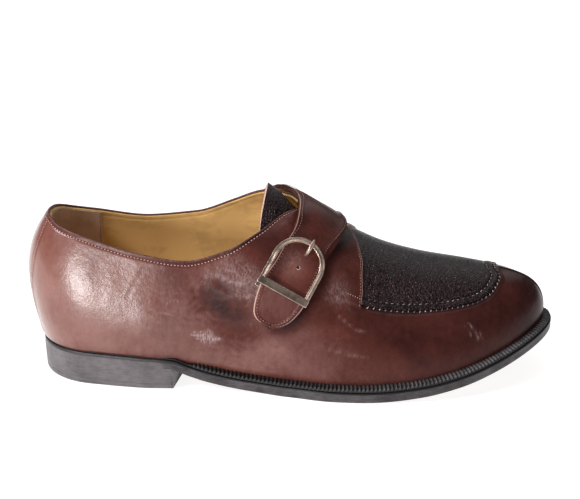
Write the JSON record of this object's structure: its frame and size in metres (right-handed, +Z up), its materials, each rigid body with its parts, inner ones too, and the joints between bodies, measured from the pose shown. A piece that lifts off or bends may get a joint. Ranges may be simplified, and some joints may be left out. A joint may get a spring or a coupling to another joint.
{
  "type": "monk strap shoe",
  "caption": "Right leather monk strap shoe with a moccasin-style apron, one buckled strap over the instep, a ribbed welt and a low heel.",
  "frame": {"origin": "middle of the heel's rest face, on the floor", "axes": "+X from the heel to the toe, +Y towards the inner side of the foot, +Z up"},
  "size_m": [0.3174, 0.1103, 0.1129],
  "materials": {
    "sole": "matt",
    "welt": "matt",
    "upper_leather": "satin",
    "pebbled_leather": "satin",
    "lining": "matt",
    "buckle": "antique",
    "thread": "matt",
    "edge": "matt"
  },
  "bodies": {
    "root": {"outsole": "sole", "heel": "sole", "welt": "welt", "upper": "upper_leather", "apron": "pebbled_leather", "tongue": "pebbled_leather", "insole": "lining", "strap": "upper_leather", "buckle_frame": "buckle", "buckle_prong": "buckle"}
  },
  "joints": []
}
